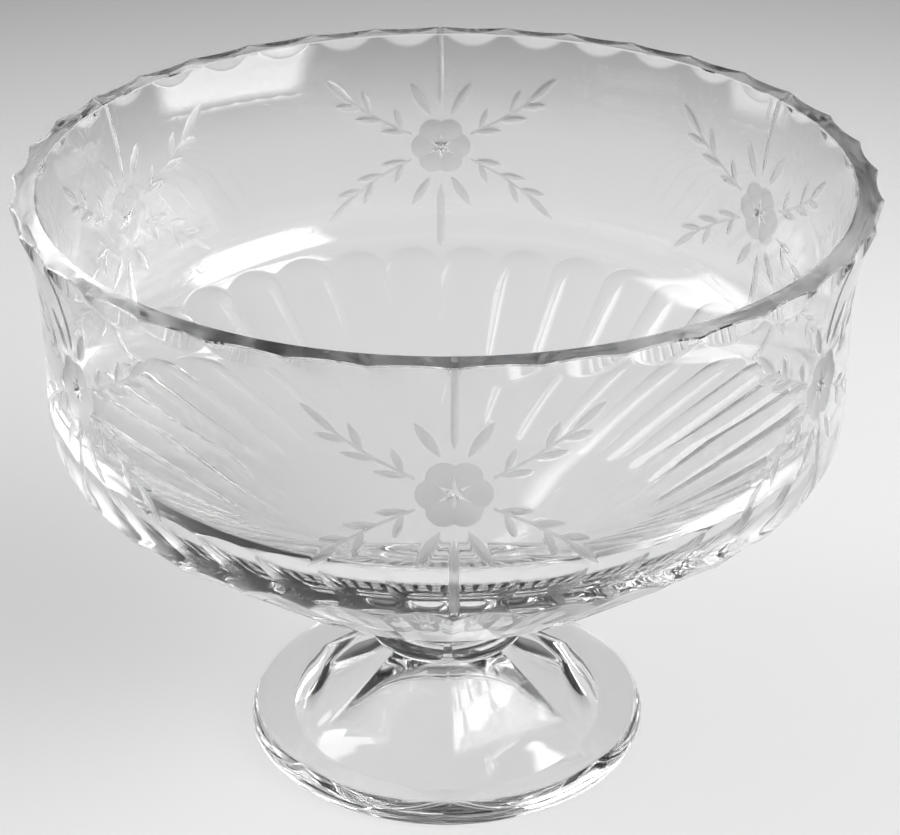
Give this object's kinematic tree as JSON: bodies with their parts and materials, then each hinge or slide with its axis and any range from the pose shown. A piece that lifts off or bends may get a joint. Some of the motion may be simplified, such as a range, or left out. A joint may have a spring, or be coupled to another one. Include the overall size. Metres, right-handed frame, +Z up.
{
  "type": "trifle bowl",
  "caption": "Footed cut-glass trifle bowl: wide round bowl with a scalloped flared rim and a fluted underside, fused to a panelled stem on a round foot, for serving layered desserts.",
  "frame": {"origin": "on the table under the axis, at the middle of the resting ring", "axes": "+Z up along the axis; a corner of the stem and a point of the rim face -Y"},
  "size_m": [0.23, 0.23, 0.172],
  "materials": {
    "glass": "polished clear glass, with grey wheel-cut flowers on the wall"
  },
  "bodies": {
    "root": {"bowl": "glass", "joining_wafer": "glass", "pedestal_foot": "glass"}
  },
  "joints": []
}
